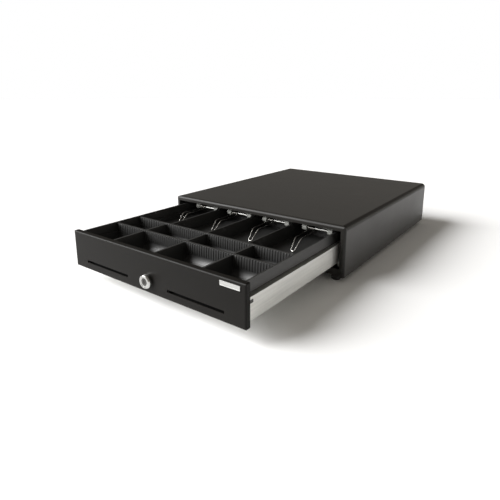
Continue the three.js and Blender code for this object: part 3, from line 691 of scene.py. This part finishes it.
def half_coil(x, side):
    """Half of a clip's coil round its axle; it starts under the axle and winds inwards.

    Distances are in mm, and outer and inner are measured from the clip's middle.
    """
    outer, inner = (-16.6, -11.2) if side < 0 else (-5.0, -10.4)
    points = []
    steps = HALF_TURNS * COIL_STEPS
    for k in range(steps + 1):
        share = k / steps
        angle = 2 * math.pi * HALF_TURNS * share - math.pi / 2
        points.append(spot(x + outer + (inner - outer) * share,
                           AXLE_Y + COIL_RADIUS * math.cos(angle),
                           AXLE_Z + COIL_RADIUS * math.sin(angle)))
    return points


def clip_path(x):
    """A clip's wire from one end to the other.

    Half a coil, two legs that meet in a hairpin foot, and the other half of the coil.
    """
    under = AXLE_Z - COIL_RADIUS
    leg = [(-16.6, AXLE_Y, under), (-10, -12, 69.1), (-5, -36, 71.5), (-2.6, -52, 55.6),
           (2.6, -52, 55.6), (5, -36, 71.5), (0.5, -12, 69.1), (-5, AXLE_Y, under)]
    legs = bent_path([spot(x + dx, y, z) for dx, y, z in leg], 3.0 * MM)
    return list(reversed(half_coil(x, -1))) + legs[1:-1] + half_coil(x, 1)


def add_note_clips():
    """The four sprung wires that hold the notes down."""
    for k in range(1, 5):
        low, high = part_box("clip_axle_%d" % k)
        bm = bmesh.new()
        tube(bm, clip_path((low.x + high.x) / 2 / MM), CLIP_WIRE, sides=12)
        make_piece("note_clip_wire_%d" % k, bm, "chrome", "clip_%d" % k, ["note_clip_%d" % k],
                   material=BRIGHT_WIRE)


# ---------------------------------------------------------------- springs
def add_spring(name, start, axis, length, radius, wire, turns):
    """A closed-end coil spring; its sizes are in mm, and wire is the wire's radius."""
    bm = bmesh.new()
    points = helix(start, axis, length * MM, radius * MM, turns, per_turn=22)
    tube(bm, points, wire * MM, sides=8)
    return make_piece(name + "_coils", bm, "plain_steel", "housing", [name])


def add_springs():
    """The latch's spring, from the coil to the plunger's tab, and the ejector's, in its guide."""
    coil_end, tab = -1.8, 8.8
    latch = add_spring("latch_spring", spot(coil_end, 382, 49), (1, 0, 0), tab - coil_end,
                       radius=5.2, wire=0.5, turns=6)
    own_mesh(latch)
    low, guide = 298.3, 341
    ejector = add_spring("ejector_spring", spot(70, low, 47), (0, 1, 0), guide - low,
                         radius=5.9, wire=0.6, turns=11)
    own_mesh(ejector)


# ---------------------------------------------------------------- lock
def lock_centre():
    """The lock's axis at the drawer front's face."""
    place = centre("lock_body")
    return Vector((place.x, FRONT_FACE, place.z))


def add_lock_body():
    """Bezel with a polished cone and a shallow ring round the plug, and a barrel.

    The barrel's thread is drawn as separate rings.
    """
    low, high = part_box("lock_body")
    proud = (FRONT_FACE - low.y) / MM
    depth = (high.y - FRONT_FACE) / MM
    thread = []
    for k in range(int(depth - 5)):
        thread += [(7.65, k + 1 - depth), (8.0, k + 1.5 - depth)]
    profile = [(5.0, -depth), (7.6, -depth)] + thread + [
        (8.0, -2.5), (8.0, 0.3), (9.3, 0.3), (9.65, 0.5), (9.75, 0.9), (9.75, proud - 2.9),
        (9.68, proud - 2.4), (8.9, proud - 0.45), (8.65, proud - 0.12), (8.3, proud),
        (7.3, proud), (7.0, proud - 0.15), (6.85, proud - 0.45), (5.5, proud - 0.45),
        (5.15, proud - 0.55), (5.0, proud - 0.9)]
    bm = bmesh.new()
    turned(bm, profile, (0, -1, 0), lock_centre(), sides=72, closed=True)
    make_piece("lock_bezel", bm, "chrome", "drawer", ["lock_body"], sharp=35)


# The keyway's outline: half its width and height, and how much a ward widens it
KEYWAY_WIDE = 0.75 * MM
KEYWAY_HIGH = 3.1 * MM
KEYWAY_DEEP = 6.5 * MM
WARD_WIDENS = 1.7


def keyway_ring(place, half_wide, half_high, count):
    """The keyway's outline, wider for a ward on its right side, as points at even angles."""
    points = []
    for k in range(count):
        angle = 2 * math.pi * k / count
        across, up = math.cos(angle), math.sin(angle)
        at_ward = across > 0 and -0.55 < up < 0.1
        wide = half_wide * (WARD_WIDENS if at_ward else 1.0)
        reach = 1 / max(abs(across) / wide, abs(up) / half_high)
        points.append(place + Vector((across * reach, 0, up * reach)))
    return points


def add_lock_plug():
    """The plug: a disc with a rounded rim and a keyway sunk into it."""
    low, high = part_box("lock_plug")
    sides = 72
    place = lock_centre()
    place.y = 0
    radius = (high.x - low.x) / 2

    def disc(y, r):
        return ring(place + Vector((0, y, 0)), Vector((1, 0, 0)), Vector((0, 0, 1)), r, sides)

    def keyway(y, scale):
        return keyway_ring(place + Vector((0, y, 0)), KEYWAY_WIDE * scale, KEYWAY_HIGH * scale,
                           sides)

    rings = [disc(high.y, radius), disc(low.y + 0.45 * MM, radius),
             disc(low.y + 0.1 * MM, radius - 0.15 * MM), disc(low.y, radius - 0.5 * MM),
             disc(low.y, radius - 1.2 * MM), keyway(low.y, 1.08), keyway(low.y + 0.2 * MM, 1.0),
             keyway(low.y + KEYWAY_DEEP, 1.0)]
    bm = bmesh.new()
    loft(bm, rings)
    make_piece("lock_plug_face", bm, "chrome", "lock", ["lock_plug"], material=PLUG_BLACK,
               sharp=30)


# ---------------------------------------------------------------- screws, rivets and label
def cross_ring(place, across, up, arm, half, count):
    """The outline of a cross, from its arms' reach and half their width."""
    points = []
    for k in range(count):
        angle = 2 * math.pi * k / count
        c, s = abs(math.cos(angle)), abs(math.sin(angle))
        on_bar = min(arm / max(c, 1e-6), half / max(s, 1e-6))
        on_post = min(arm / max(s, 1e-6), half / max(c, 1e-6))
        reach = max(on_bar, on_post)
        points.append(place + (across * math.cos(angle) + up * math.sin(angle)) * reach)
    return points


def cross_screw(bm, place, axis, radius, height, shank, length):
    """A pan-head screw with a cross recess; the place is under its head."""
    direction = Vector(axis).normalized()
    across, up = circle_frame(direction, Vector(OBLIQUE))
    count = 48

    def disc(share, along):
        return ring(place + direction * along, across, up, share, count)

    rings = [disc(shank * 0.8, -length), disc(shank, -length + 0.3 * MM), disc(shank, 0),
             disc(radius * 0.97, 0), disc(radius, 0.2 * height), disc(radius * 0.96, 0.5 * height),
             disc(radius * 0.82, 0.8 * height), disc(radius * 0.66, 0.95 * height),
             cross_ring(place + direction * height, across, up, radius * 0.56, radius * 0.14,
                        count),
             cross_ring(place + direction * height * 0.3, across, up, radius * 0.4,
                        radius * 0.11, count)]
    loft(bm, rings)


def add_screw(name, head, shank, body):
    """Puts a cross screw in a CAD screw's box, from its head's height and its shank's radius."""
    low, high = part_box(name)
    middle = centre(name)
    bm = bmesh.new()
    cross_screw(bm, Vector((middle.x, high.y - head, middle.z)), (0, 1, 0),
                (high.x - low.x) / 2, head, shank, high.y - head - low.y)
    make_piece(name + "_head", bm, "plain_steel", body, [name], sharp=30)


def add_screws():
    """The rear panel's four screws, and the one that holds the lock's cam."""
    for k in range(1, 5):
        add_screw("rear_screw_%d" % k, 1.6 * MM, 1.5 * MM, "housing")
    add_screw("cam_screw", 2.5 * MM, 2.0 * MM, "lock")


# The rivets' places: the pan's outside, behind the front's face, and two heights, in mm
RIVET_X = 162.0
RIVET_BEHIND_FACE = 12.4
RIVET_HEIGHTS = (34.5, 46.5)
RIVET_PROFILE = [(1.7, -0.4), (1.7, 0.02), (1.5, 0.16), (1.0, 0.27), (0.4, 0.31)]


def add_pan_rivets():
    """Domed rivet heads that hold the pan's sides to the drawer front."""
    bm = bmesh.new()
    for side in (-1, 1):
        for height in RIVET_HEIGHTS:
            place = Vector((side * RIVET_X * MM, FRONT_FACE + RIVET_BEHIND_FACE * MM, height * MM))
            turned(bm, RIVET_PROFILE, (side, 0, 0), place, sides=24)
    make_piece("pan_rivets", bm, "zinc_steel", "drawer")


def plate_ring(low, high, inset, y, radius):
    """A rounded rectangle facing -Y."""
    corner_steps = 5
    points = []
    x0, x1 = low.x + inset + radius, high.x - inset - radius
    z0, z1 = low.z + inset + radius, high.z - inset - radius
    for cx, cz, start in ((x1, z1, 0), (x0, z1, 90), (x0, z0, 180), (x1, z0, 270)):
        for k in range(corner_steps + 1):
            angle = math.radians(start + 90 * k / corner_steps)
            points.append(Vector((cx + radius * math.cos(angle), y,
                                  cz + radius * math.sin(angle))))
    return points


def add_label():
    """Blank identification plate: a thin raised border round a shallow field.

    Each step is an inset from the plate's edge, a place along Y and a corner radius.
    """
    low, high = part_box("label_plate")
    steps = [(0.0, high.y, 0.5), (0.0, low.y + 0.25 * MM, 0.5), (0.1, low.y + 0.06 * MM, 0.45),
             (0.25, low.y, 0.4), (0.6, low.y, 0.3), (0.72, low.y + 0.12 * MM, 0.25)]
    bm = bmesh.new()
    loft(bm, [plate_ring(low, high, inset * MM, y, radius * MM) for inset, y, radius in steps])
    make_piece("label_face", bm, "white_plastic", "drawer", ["label_plate"], material=LABEL_FOIL,
               sharp=30)


# ---------------------------------------------------------------- painted shade behind the media slots
# Each media slot's two ends along X, and the size and place of the black strip that paints shade
# behind it, in mm
MEDIA_SLOTS = {"left": (-134, -40), "right": (37.5, 132)}
SHADE_BEYOND_SLOT = 2
SHADE_BEHIND_FACE = (2.6, 34)
SHADE_THICK = 0.8
SHADE_EDGE = 0.25
PAN_FLOOR = 1.25


def add_slot_shade_strips():
    """A black strip on the pan's floor behind each slot in the drawer front.

    It is painted shade: a dark sheet where the slots' insides are only in shade, so the slots look
    black.
    """
    near, far = [FRONT_FACE + y * MM for y in SHADE_BEHIND_FACE]
    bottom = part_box("drawer_pan")[0].z + PAN_FLOOR * MM
    top = bottom + SHADE_THICK * MM
    for side, (start, end) in MEDIA_SLOTS.items():
        bm = bmesh.new()
        block(bm, ((start - SHADE_BEYOND_SLOT) * MM, near, bottom),
              ((end + SHADE_BEYOND_SLOT) * MM, far, top), SHADE_EDGE * MM)
        # Painted shade: a dark strip standing in for the shade inside the slot
        make_piece("slot_shade_strip_%s" % side, bm, "black_plastic", "drawer", material=PAINTED_SHADE_SHEET)


# ---------------------------------------------------------------- feet, rollers and socket
# A foot from its underside up: radius and height, in mm
FOOT_PROFILE = [(1.2, 0.5), (4.4, 0.45), (4.8, 0.05), (5.6, 0.0), (6.3, 0.2), (6.8, 0.7),
                (7.0, 1.5), (7.0, 8.2), (6.85, 8.75), (6.5, 9.0), (3.0, 9.0), (3.0, 10.4),
                (0.8, 10.5)]
# The radius above which a roller has the larger bore, and the two bores' radii, in mm
LARGE_ROLLER = 6.5
LARGE_BORE = 2.75
SMALL_BORE = 2.45


def add_feet():
    """Rubber feet with a dished underside, each with a stud through the base plate."""
    for name in [n for n in nodes if n.startswith("foot_")]:
        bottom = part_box(name)[0].z
        middle = centre(name)
        bm = bmesh.new()
        turned(bm, FOOT_PROFILE, (0, 0, 1), (middle.x, middle.y, bottom), sides=48)
        make_piece(name + "_pad", bm, "rubber", "housing", [name])


def add_rollers():
    """Nylon wheels with a bore, a chamfered tread and a shallow groove between hub and rim."""
    for name in [n for n in nodes if "_roller_" in n]:
        low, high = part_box(name)
        middle = centre(name)
        wide = (high.x - low.x) / 2 / MM
        radius = (high.z - low.z) / 2 / MM
        bore = LARGE_BORE if radius > LARGE_ROLLER else SMALL_BORE
        profile = [(bore, -wide), (bore + 1.4, -wide), (bore + 1.6, -wide + 0.35),
                   (radius - 1.4, -wide + 0.35), (radius - 1.2, -wide), (radius - 0.5, -wide),
                   (radius, -wide + 0.6), (radius, wide - 0.6), (radius - 0.5, wide),
                   (radius - 1.2, wide), (radius - 1.4, wide - 0.35), (bore + 1.6, wide - 0.35),
                   (bore + 1.4, wide), (bore, wide)]
        bm = bmesh.new()
        turned(bm, profile, (1, 0, 0), middle, sides=48, closed=True)
        make_piece(name + "_wheel", bm, "white_plastic", name, [name])


CONTACT_COUNT = 6
CONTACT_PITCH = 1.02 * MM
CONTACT_WIRE = 0.22 * MM
# One contact's path: how far back from the mouth and down from the roof, in mm
CONTACT_PATH = [(1.2, 0.0), (2.2, 0.0), (8.5, 3.0), (9.4, 3.0)]


def add_socket_contacts():
    """Six sprung contact wires that slope down from the roof of the socket's mouth."""
    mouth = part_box("interface_socket")[1].y
    middle = centre("interface_socket")
    roof = middle.z + 3.3 * MM
    bm = bmesh.new()
    for k in range(CONTACT_COUNT):
        x = middle.x + (k - (CONTACT_COUNT - 1) / 2) * CONTACT_PITCH
        path = [Vector((x, mouth - back * MM, roof - drop * MM)) for back, drop in CONTACT_PATH]
        tube(bm, bent_path(path, 0.8 * MM, 3), CONTACT_WIRE, sides=8)
    make_piece("socket_contacts", bm, "coil_winding", "housing", material=CONTACT_GOLD)


def add_coil_winding():
    """The solenoid's winding: close turns of enamelled wire between two end cheeks."""
    low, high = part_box("solenoid_coil")
    middle = centre("solenoid_coil")
    half = (high.x - low.x) / 2 / MM
    turns = 44
    cheek = 1.0
    pitch = 2 * (half - cheek) / turns
    profile = [(4.4, -half), (8.2, -half), (8.2, -half + 0.9)]
    for k in range(turns):
        start = -half + cheek + k * pitch
        profile += [(7.55, start), (7.8, start + 0.25 * pitch), (7.85, start + 0.5 * pitch),
                    (7.8, start + 0.75 * pitch)]
    profile += [(8.2, half - 0.9), (8.2, half), (4.4, half)]
    bm = bmesh.new()
    turned(bm, profile, (1, 0, 0), middle, sides=40, closed=True)
    make_piece("solenoid_winding", bm, "coil_winding", "housing", ["solenoid_coil"])


# ---------------------------------------------------------------- the scene
make_camera()
make_studio()
make_floor()
for node_name in nodes:
    refine(node_name)
add_tray_ribs()
add_note_clips()
add_springs()
add_lock_body()
add_lock_plug()
add_screws()
add_pan_rivets()
add_label()
add_slot_shade_strips()
add_feet()
add_rollers()
add_socket_contacts()
add_coil_winding()
